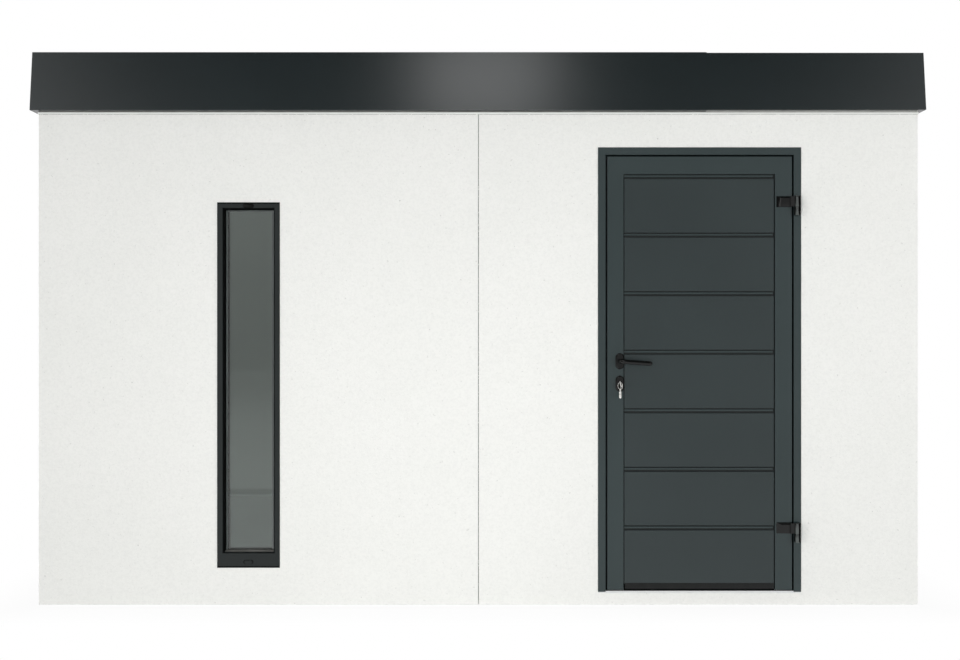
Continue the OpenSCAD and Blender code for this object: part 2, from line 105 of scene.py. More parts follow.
print("materials")
columns = ("dark", "light", "cloudMm", "grainMm", "liftMm", "bump", "rough", "drift", "gloss",
           "metallic", "stretch")
looks = {
    # polyester coil coating, rolled on flat sheet: even satin with a faint orange peel
    "coilCoatedSteel": ("#131b1c", "#172022", 900, 3, 0.02, 0.2, 0.22, 0.01),
    # polyester powder sprayed and baked: satin, a little coarser than the coil coating
    "powderCoatedSteel": ("#202a2b", "#252f30", 400, 2.5, 0.03, 0.35, 0.37, 0.02),
    # the same powder on extruded aluminium, drawn a shade lighter as painted light on the frame,
    # the leaf's surround and the groove bars
    "litPowderCoatedAluminium": ("#243031", "#293536", 400, 2.5, 0.03, 0.3, 0.36, 0.02),
    # acrylic foil laminated on extruded PVC: matt with a fine leather grain
    "foiledPvc": ("#141919", "#1a1f1f", 250, 1.6, 0.05, 0.4, 0.45, 0.04, 0.35),
    # EPDM rubber, extruded: matt black that greys a little with dust, its black taken down to
    # almost nothing as painted shade for the gaps and reveals it lines
    "epdmRubberShadeBlack": ("#020303", "#060707", 60, 2, 0.05, 0.4, 0.8, 0.06, 0.1),
    # gloss black lacquer on die-cast zinc: mirror-like with a slight peel
    "glossBlackZinc": ("#050606", "#080909", 30, 4, 0.02, 0.15, 0.17, 0.03, 0.35),
    # turned zinc under a thin black passivation: dark metal that mirrors more than the lacquer
    "brushedZinc": ("#575b5a", "#636766", 30, 1, 0.02, 0.2, 0.3, 0.04, 0.5, 1.0, (1, 1, 20)),
    # moulded gloss ABS for the oval caps
    "glossBlackAbs": ("#060606", "#0a0a0a", 20, 3, 0.01, 0.15, 0.2, 0.03, 0.15),
    # nickel plate on brass, drawn and tumbled: bright with soft scratches
    "nickelPlate": ("#eceae4", "#fbfaf6", 12, 0.8, 0.02, 0.3, 0.3, 0.06, 0.5, 0.4),
    # mill-finish aluminium, extruded along the doorway: long fine die lines
    "millAluminium": ("#dcdedf", "#eaecec", 90, 2, 0.03, 0.4, 0.38, 0.07, 0.5, 1.0, (0.04, 1, 1)),
    # plasticised PVC roofing sheet, calendered: matt with fine mottling
    "pvcMembrane": ("#3c4041", "#4d5152", 220, 6, 0.2, 0.4, 0.7, 0.08),
    # power-floated cement screed: cloudy grey with fine pits
    "floatedScreed": ("#85847f", "#a3a29c", 350, 5, 0.3, 0.35, 0.6, 0.1),
    # coated steel facing of the roof panel, seen as the ceiling
    "coatedPanel": ("#b3b4b1", "#bcbdba", 600, 4, 0.05, 0.2, 0.5, 0.04),
    # acrylic joint sealant, tooled smooth
    "jointSealant": ("#6f6f6b", "#8b8b87", 40, 4, 0.3, 0.5, 0.75, 0.05),
    # anodised spacer bar between the two panes
    "spacerBar": ("#868a8a", "#949898", 80, 2, 0.03, 0.3, 0.5, 0.05),
    # extruded white PVC of the stop bead: smooth and a little shiny
    "whitePvc": ("#e6e8e5", "#eceeeb", 120, 3, 0.03, 0.2, 0.45, 0.04),
    # nylon pile of the draught brush and seals
    "nylonPile": ("#0a0b0b", "#131515", 50, 1.5, 0.3, 0.8, 0.8, 0.05, 0.5, 0.0, (1, 1, 0.08)),
}
finish = {name: paintSurface(name, dict(zip(columns, row))) for name, row in looks.items()}


def makeRender():
    # scratched silicone render, 1.5 mm grit, floated by hand: white with soft clouds, a fine
    # mottling, tiny pits where grit was dragged whose grey is painted shade in the hollows, and
    # the float's shallow waves
    look = {"pale": "#f4f4f1", "shade": "#edeeea", "cloudMm": 500, "gritMm": 4, "liftMm": 0.6,
            "waveMm": 15, "waveLiftMm": 0.4,
            # flecks, then pits with painted shade: colour, size, detail, where they start and are
            # full, how much
            "spots": (("#dddedb", 11, 4.0, 0.42, 0.68, 0.32),
                      ("#b4b5b1", 14, 3.0, 0.66, 0.74, 0.6))}
    material, tree, shader, place = newMaterial("scratchedRender", Roughness=0.9, IOR=1.45)
    clouds = addNode(tree, "ShaderNodeTexNoise", {
        "Vector": place, "Scale": 1000 / look["cloudMm"], "Detail": 5.0, "Roughness": 0.65})
    grit = addNode(tree, "ShaderNodeTexVoronoi", {
        "Vector": place, "Scale": 1000 / look["gritMm"]}, feature="F1")
    sand = addNode(tree, "ShaderNodeTexNoise", {
        "Vector": place, "Scale": 2200 / look["gritMm"], "Detail": 3.0})
    cloudy = addNode(tree, "ShaderNodeMix", {
        0: clouds.outputs[0], 6: toLinear(look["shade"]), 7: toLinear(look["pale"])},
        data_type="RGBA")
    for tone, sizeMm, detail, low, high, most in look["spots"]:
        spots = addNode(tree, "ShaderNodeTexNoise", {
            "Vector": place, "Scale": 1000 / sizeMm, "Detail": detail, "Roughness": 0.7})
        fleckAndPitShade = addNode(tree, "ShaderNodeMapRange", {
            "Value": spots.outputs[0], "From Min": low, "From Max": high, "To Max": most})
        cloudy = addNode(tree, "ShaderNodeMix", {
            0: fleckAndPitShade.outputs[0], 6: cloudy.outputs[2], 7: toLinear(tone)}, data_type="RGBA")
    tree.links.new(cloudy.outputs[2], shader.inputs["Base Color"])
    relief = addNode(tree, "ShaderNodeMath", {0: grit.outputs["Distance"], 1: sand.outputs[0]},
                     operation="ADD")
    hollow = addNode(tree, "ShaderNodeMath", {0: relief.outputs[0], 1: fleckAndPitShade.outputs[0]},
                     operation="SUBTRACT")
    rough = addNode(tree, "ShaderNodeBump", {
        "Height": hollow.outputs[0], "Distance": look["liftMm"] / 1000, "Strength": 0.5})
    waves = addNode(tree, "ShaderNodeTexNoise", {
        "Vector": place, "Scale": 1000 / look["waveMm"], "Detail": 2.0})
    bump = addNode(tree, "ShaderNodeBump", {
        "Height": waves.outputs[0], "Distance": look["waveLiftMm"] / 1000, "Strength": 0.5,
        "Normal": rough.outputs[0]})
    tree.links.new(bump.outputs[0], shader.inputs["Normal"])
    return material


def makeWood():
    # sawn spruce: long grain lines with paler early wood between them
    look = {"early": "#c7a878", "late": "#96713f", "ringMm": 9}
    material, tree, shader, place = newMaterial("sawnSpruce", Roughness=0.75)
    stretch = addNode(tree, "ShaderNodeMapping", {"Vector": place, "Scale": (0.06, 0.06, 1)})
    rings = addNode(tree, "ShaderNodeTexNoise", {
        "Vector": stretch.outputs[0], "Scale": 1000 / look["ringMm"], "Detail": 4.0,
        "Distortion": 0.6})
    tint = addNode(tree, "ShaderNodeMix", {
        0: rings.outputs[0], 6: toLinear(look["late"]), 7: toLinear(look["early"])},
        data_type="RGBA")
    tree.links.new(tint.outputs[2], shader.inputs["Base Color"])
    bump = addNode(tree, "ShaderNodeBump", {"Height": rings.outputs[0], "Distance": 0.0004})
    tree.links.new(bump.outputs[0], shader.inputs["Normal"])
    return material


def makeGlass():
    # float glass: clear with a green cast in its depth, and faint roller waves
    material, tree, shader, place = newMaterial(
        "floatGlass", Base_Color="#e9f2ee", Roughness=0.0, IOR=1.6, Transmission_Weight=1.0)
    waves = addNode(tree, "ShaderNodeTexNoise", {"Vector": place, "Scale": 4.0, "Detail": 1.0})
    bump = addNode(tree, "ShaderNodeBump", {
        "Height": waves.outputs[0], "Distance": 0.0002, "Strength": 0.3})
    tree.links.new(bump.outputs[0], shader.inputs["Normal"])
    return material


finish["scratchedRender"] = makeRender()
finish["sawnSpruce"] = makeWood()
finish["floatGlass"] = makeGlass()


# mesh helpers
edgeAngle = radians(30)  # an edge that turns more is drawn sharp and gets rounded


def addObject(name, data):
    made = bpy.data.objects.new(name, data)
    scene.collection.objects.link(made)
    return made


def closeMesh(name, bm):
    bmesh.ops.recalc_face_normals(bm, faces=bm.faces)
    mesh = bpy.data.meshes.new(name)
    bm.to_mesh(mesh)
    bm.free()
    return mesh


def block(bm, low, high):
    corners = [bm.verts.new((x, y, z)) for x in (low[0], high[0]) for y in (low[1], high[1])
               for z in (low[2], high[2])]
    for face in ((0, 1, 3, 2), (4, 6, 7, 5), (0, 4, 5, 1), (2, 3, 7, 6), (0, 2, 6, 4),
                 (1, 5, 7, 3)):
        bm.faces.new([corners[i] for i in face])


def loft(bm, rings, closed=False):  # skins rings of points, capped or joined back to the first
    made = [[bm.verts.new(p) for p in ring] for ring in rings]
    count = len(made[0])
    for a, b in zip(made, made[1:] + (made[:1] if closed else [])):
        for i in range(count):
            bm.faces.new((a[i], a[(i + 1) % count], b[(i + 1) % count], b[i]))
    if not closed:
        bm.faces.new(made[0][::-1])
        bm.faces.new(made[-1])


def prism(bm, outline, start, end, axis):  # outline in the other two axes, drawn along one
    def at(p, d):
        return {"x": (d, p[0], p[1]), "y": (p[0], d, p[1])}[axis]
    loft(bm, [[at(p, d) for p in outline] for d in (start, end)])


def pierced(bm, xs, zs, holes, y0, y1):  # an upright slab on a grid, with some cells left out
    filled = {(i, k) for i in range(len(xs) - 1) for k in range(len(zs) - 1)} - set(holes)
    corner = {}

    def vert(i, k, y):
        if (i, k, y) not in corner:
            corner[i, k, y] = bm.verts.new((xs[i], y, zs[k]))
        return corner[i, k, y]
    for i, k in filled:
        loop = [(i, k), (i + 1, k), (i + 1, k + 1), (i, k + 1)]
        for y in (y0, y1):
            bm.faces.new([vert(*c, y) for c in loop])
        for n, (di, dk) in enumerate(((0, -1), (1, 0), (0, 1), (-1, 0))):
            if (i + di, k + dk) not in filled:
                a, b = loop[n], loop[(n + 1) % 4]
                bm.faces.new((vert(*a, y0), vert(*b, y0), vert(*b, y1), vert(*a, y1)))


def keep(name, source, material, body, slot, replaced=(), bevelMm=0.0, segments=2):
    # makes the object, rounds its edges, and lets it ride on its body
    mesh = source if isinstance(source, bpy.types.Mesh) else closeMesh(name, source)
    piece = addObject(name, mesh)
    mesh.materials.clear()
    mesh.materials.append(finish[material])
    mesh.shade_smooth()
    mesh.set_sharp_from_angle(angle=edgeAngle)
    if bevelMm:
        bevel = piece.modifiers.new("roundedEdges", "BEVEL")
        bevel.width = bevelMm / 1000
        bevel.segments = segments
        bevel.limit_method = "ANGLE"
        bevel.angle_limit = edgeAngle
        bevel.harden_normals = True
        bevel.miter_outer = "MITER_ARC"
    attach(piece, body)
    if replaced:
        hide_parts(*replaced)
    return piece


def soften(name, material, body, slot, bevelMm):
    # a copy of one CAD node with rounded edges, its flat faces whole again
    bm = bmesh.new()
    bm.from_mesh(nodes[name].data)
    bmesh.ops.remove_doubles(bm, verts=bm.verts, dist=1e-5)
    bmesh.ops.dissolve_limit(bm, angle_limit=radians(0.5), verts=bm.verts, edges=bm.edges)
    return keep(name + "_soft", bm, material, body, slot, [name], bevelMm)


# places that several pieces share, read from the frame
wallLow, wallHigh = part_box("front_window_panel")
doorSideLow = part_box("front_panel_left_of_door")[0]
windowLow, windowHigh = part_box("window_frame_sides")
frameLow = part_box("door_frame_lock_jamb")[0]
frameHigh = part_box("door_frame_hinge_jamb")[1]
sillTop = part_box("door_sill")[1].z
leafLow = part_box("leaf_lock_stile")[0]
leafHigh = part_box("leaf_hinge_stile")[1]
infillLow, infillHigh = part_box("leaf_core")

print("walls")
joint = {"leftIn": 0.0012, "rightOut": 0.0006}  # the front joint isn't cut dead straight
bm = bmesh.new()
pierced(bm, [wallLow.x, windowLow.x, windowHigh.x, wallHigh.x + joint["leftIn"]],
        [0, windowLow.z, windowHigh.z, wallHigh.z], [(1, 1)], wallLow.y, wallHigh.y)
keep("window_wall", bm, "scratchedRender", "cabin", "wall_render", ["front_window_panel"], 0.6)
bm = bmesh.new()
pierced(bm, [doorSideLow.x + joint["rightOut"], frameLow.x, frameHigh.x, -wallLow.x],
        [0, sillTop, frameHigh.z, wallHigh.z], [(1, 1)], wallLow.y, wallHigh.y)
keep("door_wall", bm, "scratchedRender", "cabin", "wall_render",
     ["front_panel_left_of_door", "front_panel_right_of_door", "door_lintel", "door_sill"], 0.6)
for name in ("left_wall_front_panel", "left_wall_rear_panel", "right_wall_front_panel",
             "right_wall_rear_panel", "back_wall_left_panel", "back_wall_right_panel"):
    soften(name, "scratchedRender", "cabin", "wall_render", 0.6)
for name, material in (("panel_joint_seals", "jointSealant"), ("floor_slab", "floatedScreed"),
                       ("roof_deck", "coatedPanel"), ("roof_kerbs", "sawnSpruce"),
                       ("roof_membrane", "pvcMembrane"), ("leaf_core", "powderCoatedSteel")):
    nodes[name].data.materials.clear()
    nodes[name].data.materials.append(finish[material])

print("fascia")
for name in ("front_long", "front_short", "left", "right", "back_long", "back_short"):
    soften("fascia_" + name, "coilCoatedSteel", "cabin", "fascia_sheet", 0.7)

print("stop bead under the fascia")
stop = {"proud": 0.003, "height": 0.0095, "recess": 0.004, "sunk": 0.002,
        "upperShadeStrip": (0.0006, 0.001, 0.0005), "lowerShadeStrip": (0.0004, 0.0012, 0.001)}
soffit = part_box("fascia_left")[0].z
halfW, halfD = -wallLow.x, -wallLow.y


def collar(bm, proud, z0, z1):  # a band round all four walls
    sunk = -stop["sunk"]
    loft(bm, [[(-halfW - p, -halfD - p, z), (halfW + p, -halfD - p, z),
               (halfW + p, halfD + p, z), (-halfW - p, halfD + p, z)]
              for p, z in ((sunk, z0), (proud, z0), (proud, z1), (sunk, z1))], closed=True)


beadTop = soffit - stop["recess"]
beadFoot = beadTop - stop["height"]
bm = bmesh.new()
collar(bm, stop["proud"], beadFoot, beadTop)
keep("stop_bead", bm, "whitePvc", "cabin", "wall_render", (), 0.8)
# grey strips in the recess over the bead and along its foot: painted shade where the fascia and the
# bead shade the wall
bm = bmesh.new()
for z0, z1, (proud, under, over) in ((beadTop, soffit, stop["upperShadeStrip"]),
                                     (beadFoot, beadFoot, stop["lowerShadeStrip"])):
    collar(bm, proud, z0 - under, z1 + over)
keep("bead_shade_strips", bm, "jointSealant", "cabin", "joint_seal")

print("window")
# groups of four are widths from the outer edge at the left, foot, right and head
window = {
    "member": (0.028, 0.0683, 0.028, 0.028), "bevel": (0.004, 0.002, 0.006, 0.006),
    "bevelDepth": 0.006, "rebate": 0.014, "pane": 0.004,
    "tape": (0.0008, 0.0075, 0.0008, 0.006), "tapeOuter": 0.0001, "tapeInner": 0.0004,
    "tapeFront": 0.0018, "tapeBack": 0.002,
    "sealTop": 0.0058, "sealOut": (0.025, 0.0065), "sealSunk": 0.0005, "sealEnd": 0.001,
    "liner": (0.0284, 0.06, 0.0284, 0.0284), "linerFront": 0.003, "linerLip": 0.0022,
    "lipDepth": 0.003, "linerThick": (0.003, 0.0045), "linerBack": 0.004,
    "bead": (0.0306, 0.06, 0.032, 0.032), "beadDepth": 0.009, "beadEase": 0.001,
    "glassGap": 0.0002, "glassEdge": (0.0145, 0.0525, 0.0145, 0.0145),
    "spacer": (0.0365, 0.071, 0.045, 0.035), "butyl": (0.0424, 0.0713, 0.0453, 0.0353),
    "butylDepth": 0.012}
glassLow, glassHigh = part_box("window_glazing")
windowFace, windowBack = windowLow.y, windowHigh.y
member, tape, liner, bead, glassEdge = (
    window[key] for key in ("member", "tape", "liner", "bead", "glassEdge"))
outerEdge = (0.0, 0.0, 0.0, 0.0)
rebate = tuple(w - window["rebate"] for w in member)
flat = tuple(w - b for w, b in zip(member, window["bevel"]))


def mitred(bm, *section):  # a frame round the window; its section's points are (widths, more, y)
    rings = []
    for widths, more, y in section:
        left, foot, right, head = (w + more for w in widths)
        x0, x1, z0, z1 = (windowLow.x + left, windowHigh.x - right, windowLow.z + foot,
                          windowHigh.z - head)
        rings.append([(x0, y, z0), (x1, y, z0), (x1, y, z1), (x0, y, z1)])
    loft(bm, rings, closed=True)


bm = bmesh.new()
mitred(bm, (tape, 0, windowFace), (flat, 0, windowFace),
       (member, 0, windowFace + window["bevelDepth"]), (member, 0, glassLow.y),
       (rebate, 0, glassLow.y), (rebate, 0, windowBack), (tape, 0, windowBack))
keep("window_frame", bm, "foiledPvc", "cabin", "window_frame",
     ["window_frame_sides", "window_frame_head", "window_frame_sill"], 0.6)
# a black tape round the frame's outer edge, wide at the head and foot and thin at the sides: partly
# a real sealing tape, partly painted shade over and under the frame's edges
bm = bmesh.new()
y0, y1 = windowFace + window["tapeFront"], windowBack - window["tapeBack"]
less, more = window["tapeOuter"], window["tapeInner"]
mitred(bm, (outerEdge, less, y0), (tape, more, y0), (tape, more, y1), (outerEdge, less, y1))
keep("window_tape_shade", bm, "epdmRubberShadeBlack", "cabin", "black_seal")
bm = bmesh.new()
sillZ = windowLow.z + member[1]
sunk, sealEnd = window["sealSunk"], window["sealEnd"]
sealTop = sillZ + window["sealTop"]
sealFront, sealBack = (glassLow.y - out for out in window["sealOut"])
prism(bm, [(sealFront, sillZ - sunk), (glassLow.y - sunk, sillZ - sunk),
           (glassLow.y - sunk, sealTop), (sealBack, sealTop)],
      windowLow.x + member[0] + sealEnd, windowHigh.x - member[2] - sealEnd, "x")
keep("sill_seal", bm, "jointSealant", "cabin", "joint_seal", (), 0.4)
# the glazing bead and the rear gasket, and a black liner across the frame's reveal in front of the
# bead: the bead and gasket are real, the liner is painted shade in the reveal
bm = bmesh.new()
front = windowFace + window["linerFront"]
beadAt = glassLow.y - window["beadDepth"]
nearGlass = glassLow.y - window["glassGap"]
thinEnd, thickEnd = window["linerThick"]
mitred(bm, (liner, -window["linerLip"], front), (liner, 0, front + window["lipDepth"]),
       (liner, 0, beadAt - window["beadEase"]), (bead, 0, beadAt), (bead, 0, nearGlass),
       (liner, -thinEnd, nearGlass), (liner, -thickEnd, front + window["linerBack"]))
mitred(bm, (rebate, 0, glassHigh.y), (member, 0, glassHigh.y), (member, 0, windowBack),
       (rebate, 0, windowBack))
keep("window_gasket_shade_liner", bm, "epdmRubberShadeBlack", "cabin", "black_seal", ["window_beads"], 0.3)
bm = bmesh.new()
gapFront = glassLow.y + window["pane"]
gapBack = glassHigh.y - window["pane"]
gapSplit = gapBack - window["butylDepth"]
block(bm, glassLow, (glassHigh.x, gapFront, glassHigh.z))
block(bm, (glassLow.x, gapBack, glassLow.z), glassHigh)
panes = keep("window_panes", bm, "floatGlass", "cabin", "glass", ["window_glazing"], 0.3, 1)
panes.visible_shadow = False
for name, y0, y1, widths, material, slot in (
        ("glass_spacer", gapFront, gapSplit, window["spacer"], "spacerBar", "glass"),
        ("glass_butyl", gapSplit, gapBack, window["butyl"], "epdmRubberShadeBlack", "black_seal")):
    bm = bmesh.new()
    mitred(bm, (glassEdge, 0, y0), (widths, 0, y0), (widths, 0, y1), (glassEdge, 0, y1))
    keep(name, bm, material, "cabin", slot)


# node trees that repeat a form or strew one over a surface
def growTree(name, source, inputs, build, material):
    tree = bpy.data.node_groups.new(name, "GeometryNodeTree")
    tree.interface.new_socket("Geometry", in_out="INPUT", socket_type="NodeSocketGeometry")
    tree.interface.new_socket("Geometry", in_out="OUTPUT", socket_type="NodeSocketGeometry")
    kinds = {int: "NodeSocketInt", float: "NodeSocketFloat", tuple: "NodeSocketVector"}
    sockets = {label: tree.interface.new_socket(label, in_out="INPUT",
                                                socket_type=kinds[type(value)]).identifier
               for label, value in inputs.items()}
    given = addNode(tree, "NodeGroupInput").outputs
    grown = addNode(tree, "GeometryNodeRealizeInstances", {0: build(tree, given)})
    painted = addNode(tree, "GeometryNodeSetMaterial", {
        "Geometry": grown.outputs[0], "Material": finish[material]})
    addNode(tree, "NodeGroupOutput", {0: painted.outputs[0]})
    carrier = addObject(name + "_carrier", closeMesh(name, source))
    modifier = carrier.modifiers.new(name, "NODES")
    modifier.node_group = tree
    for label, value in inputs.items():
        modifier[sockets[label]] = value
    grownMesh = bpy.data.meshes.new_from_object(
        carrier.evaluated_get(bpy.context.evaluated_depsgraph_get()))
    bpy.data.objects.remove(carrier)
    return grownMesh


def stackTree(tree, given):  # one form repeated along a straight line
    line = addNode(tree, "GeometryNodeMeshLine", {
        "Count": given["Count"], "Offset": given["Step"]}, mode="OFFSET")
    placed = addNode(tree, "GeometryNodeInstanceOnPoints", {
        "Points": line.outputs[0], "Instance": given["Geometry"]})
    return placed.outputs[0]


def keepStack(name, source, count, step, material, *rest):
    mesh = growTree(name, source, {"Count": count, "Step": step}, stackTree, material)
    return keep(name, mesh, material, *rest)


def gritTree(tree, given):  # flattened grains of random size on every face of the carrier
    strewn = addNode(tree, "GeometryNodeDistributePointsOnFaces", {
        "Mesh": given["Geometry"], "Density": given["Grains per m2"], "Seed": given["Seed"]})
    low, high = (
        addNode(tree, "ShaderNodeCombineXYZ", {"X": given[r], "Y": given[r], "Z": given[h]})
        for r, h in (("Smallest", "Lowest"), ("Largest", "Highest")))
    size = addNode(tree, "FunctionNodeRandomValue", {
        0: low.outputs[0], 1: high.outputs[0], "Seed": given["Seed"]}, data_type="FLOAT_VECTOR")
    grain = addNode(tree, "GeometryNodeMeshIcoSphere", {"Radius": 1.0, "Subdivisions": 1})
    placed = addNode(tree, "GeometryNodeInstanceOnPoints", {
        "Points": strewn.outputs["Points"], "Instance": grain.outputs[0],
        "Rotation": strewn.outputs["Rotation"], "Scale": size.outputs[0]})
    return placed.outputs[0]


def strewGrit(name, source, density, radii, heights, seed):
    mesh = growTree(name, source, {
        "Grains per m2": float(density), "Seed": seed, "Smallest": radii[0], "Largest": radii[1],
        "Lowest": heights[0], "Highest": heights[1]}, gritTree, "scratchedRender")
    return keep(name, mesh, "scratchedRender", "cabin", "wall_render")


print("render grit")
grit = {
    # grains per m2, the least and the most of their radii and of their heights, seed
    "edges": (26000, (0.0011, 0.0028), (0.0008, 0.002), 3),
    "faces": (260, (0.0012, 0.0032), (0.0005, 0.0012), 5),
    "windowOut": 0.004, "doorOut": 0.003, "doorIn": -0.0005, "jointWidth": 0.002,
    "endGap": 0.003, "beadBand": (0.004, 0.001), "clear": 0.01}
frontY = wallLow.y


def strip(bm, low, high):  # a flat upright face between two corners
    (x0, y0, z0), (x1, y1, z1) = low, high
    ring = ((x0, y0, z0), (x1, y1, z0), (x1, y1, z1), (x0, y0, z1))
    bm.faces.new([bm.verts.new(p) for p in ring])


def frontRing(bm, low, high, out, inside):  # four strips on the front wall round an opening
    for x0, x1, z0, z1 in ((low.x - out, low.x + inside, low.z - out, high.z + out),
                           (high.x - inside, high.x + out, low.z - out, high.z + out),
                           (low.x, high.x, high.z - inside, high.z + out),
                           (low.x, high.x, low.z - out, low.z + inside)):
        strip(bm, (x0, frontY, z0), (x1, frontY, z1))


edges = bmesh.new()
frontRing(edges, windowLow, windowHigh, grit["windowOut"], 0.0)
frontRing(edges, Vector((frameLow.x, 0, sillTop)), frameHigh, grit["doorOut"], grit["doorIn"])
end = grit["endGap"]
for x in (wallHigh.x, doorSideLow.x):
    side = grit["jointWidth"] if x > 0 else -grit["jointWidth"]
    strip(edges, (min(x, x + side), frontY, end), (max(x, x + side), frontY, soffit))
under, over = (beadFoot - drop for drop in grit["beadBand"])
strip(edges, (end - halfW, frontY, under), (halfW - end, frontY, over))
strewGrit("render_edges", edges, *grit["edges"])
faces = bmesh.new()
clear = grit["clear"]
under = beadFoot - clear
openFoot, openTop = windowLow.z - clear, windowHigh.z + clear
for x0, x1, z0, z1 in ((clear - halfW, wallHigh.x - clear, clear, openFoot),
                       (clear - halfW, wallHigh.x - clear, openTop, under),
                       (clear - halfW, windowLow.x - clear, openFoot, openTop),
                       (windowHigh.x + clear, wallHigh.x - clear, openFoot, openTop),
                       (doorSideLow.x + clear, frameLow.x - clear, clear, under),
                       (frameHigh.x + clear, halfW - clear, clear, under),
                       (frameLow.x, frameHigh.x, frameHigh.z + clear, under)):
    strip(faces, (x0, frontY, z0), (x1, frontY, z1))
for sideX in (-halfW, halfW):
    for y0, y1 in ((clear - halfD, -clear), (clear, halfD - clear)):
        strip(faces, (sideX, y0, clear), (sideX, y1, under))
for x0, x1 in ((clear - halfW, -clear), (clear, halfW - clear)):
    strip(faces, (x0, halfD, clear), (x1, halfD, under))
strewGrit("render_grains", faces, *grit["faces"])

print("roof sheet")
sheet = {"thick": 0.002, "lapWidth": 0.05, "lapHeight": 0.0016, "lapSunk": 0.0005,
         "lapEnd": 0.003, "rolls": 3}
trayLow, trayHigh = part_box("roof_membrane")
trayTop = trayLow.z + sheet["thick"]
rollStep = (trayHigh.x - trayLow.x) / (sheet["rolls"] + 1)
firstLap = trayLow.x + rollStep
bm = bmesh.new()
block(bm, (firstLap, trayLow.y + sheet["lapEnd"], trayTop - sheet["lapSunk"]),
      (firstLap + sheet["lapWidth"], trayHigh.y - sheet["lapEnd"], trayTop + sheet["lapHeight"]))
keepStack("membrane_laps", bm, sheet["rolls"], (rollStep, 0.0, 0.0), "pvcMembrane", "cabin",
          "membrane", (), 0.6)

print("door frame")
jamb = {"stopGap": 0.0055, "gasketWidth": 0.007, "gasketDepth": 0.0042, "gasketIn": 0.002,
        "gasketSunk": 0.001, "noseDepth": 0.006, "noseTop": 0.0087, "noseEnd": 0.0005,
        "noseIn": 0.0002}
headLow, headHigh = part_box("door_frame_head")
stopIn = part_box("door_frame_lock_jamb")[1].x
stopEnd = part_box("door_frame_hinge_jamb")[0].x
leafBack = infillHigh.y
stopFace = leafBack + jamb["stopGap"]
jambFace = headLow.x - frameLow.x


def portal(bm, outer, inner, y0, y1):  # jambs and head in one, open at the foot
    (x0, x1, top), (a, b, under), foot = outer, inner, frameLow.z
    prism(bm, [(x0, foot), (a, foot), (a, under), (b, under), (b, foot), (x1, foot), (x1, top),
               (x0, top)], y0, y1, "y")


bm = bmesh.new()
outer = (frameLow.x, frameHigh.x, frameHigh.z)
portal(bm, outer, (headLow.x, headHigh.x, frameHigh.z - jambFace), frameLow.y, stopFace)
portal(bm, outer, (stopIn, stopEnd, headLow.z), stopFace, frameHigh.y)
keep("door_frame", bm, "litPowderCoatedAluminium", "cabin", "door_metal",
     ["door_frame_lock_jamb", "door_frame_hinge_jamb", "door_frame_head"], 1.0, 3)
bm = bmesh.new()
near = jamb["gasketIn"]
far = near + jamb["gasketWidth"]
portal(bm, (stopIn - far, stopEnd + far, headLow.z + far),
       (stopIn - near, stopEnd + near, headLow.z + near),
       stopFace - jamb["gasketDepth"], stopFace + jamb["gasketSunk"])
keep("door_gasket", bm, "epdmRubberShadeBlack", "cabin", "black_seal", (), 1.6, 3)
thresholdLow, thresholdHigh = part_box("door_threshold")
soften("door_threshold", "millAluminium", "cabin", "threshold", 0.6)
bm = bmesh.new()
end, inside = jamb["noseEnd"], jamb["noseIn"]
block(bm, (frameLow.x + end, thresholdLow.y + inside, thresholdLow.z + inside),
      (frameHigh.x - end, thresholdLow.y + jamb["noseDepth"],
       thresholdLow.z + jamb["noseTop"]))
keep("threshold_nose", bm, "millAluminium", "cabin", "threshold", (), 0.6)
ribs = {"count": 5, "step": 0.0065, "width": 0.003, "height": 0.0006, "sunk": 0.0003,
        "end": 0.002, "fromBack": 0.008, "onPlate": 0.004}
bm = bmesh.new()
y = thresholdHigh.y - ribs["fromBack"] - ribs["count"] * ribs["step"]
top = thresholdLow.z + ribs["onPlate"]
block(bm, (stopIn + ribs["end"], y, top - ribs["sunk"]),
      (stopEnd - ribs["end"], y + ribs["width"], top + ribs["height"]))
keepStack("threshold_ribs", bm, ribs["count"], (0.0, ribs["step"], 0.0), "millAluminium", "cabin",
          "threshold", (), 0.25, 1)

print("leaf")
leaf = {"planks": 7, "gapLeft": 0.0034, "gapRight": 0.0042, "groove": 0.0225, "drop": 0.002,
        "footLift": 0.0045, "barAt": 0.0055, "barHeight": 0.0078, "barEnd": 0.009,
        "barBehind": 0.0005, "backing": (0.0006, 0.0002), "dripOut": 0.0112, "dripEnd": 0.003,
        "dripLift": 0.0035, "dripOver": 0.002}
plankLow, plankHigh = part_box("leaf_planks")
stileIn = infillLow.x - leaf["gapLeft"]
stileOut = infillHigh.x
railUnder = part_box("leaf_top_rail")[0].z - leaf["drop"]
footZ = leafLow.z + leaf["footLift"]
bm = bmesh.new()
prism(bm, [(leafLow.x, footZ), (stileIn, footZ), (stileIn, railUnder), (stileOut, railUnder),
           (stileOut, footZ), (leafHigh.x, footZ), (leafHigh.x, leafHigh.z),
           (leafLow.x, leafHigh.z)], leafLow.y, leafBack, "y")
keep("leaf_surround", bm, "litPowderCoatedAluminium", "leaf", "door_metal",
     ["leaf_lock_stile", "leaf_hinge_stile", "leaf_top_rail"], 1.2, 3)
pitch = (infillHigh.z - infillLow.z) / leaf["planks"]
step = (0.0, 0.0, pitch)
plankFoot = plankLow.z - leaf["drop"]
bm = bmesh.new()
block(bm, (plankLow.x, plankLow.y, plankFoot),
      (plankHigh.x - leaf["gapRight"], plankHigh.y, plankFoot + pitch - leaf["groove"]))
keepStack("leaf_planks_folded", bm, leaf["planks"], step, "powderCoatedSteel", "leaf",
          "door_metal", ["leaf_planks"], 1.3, 3)
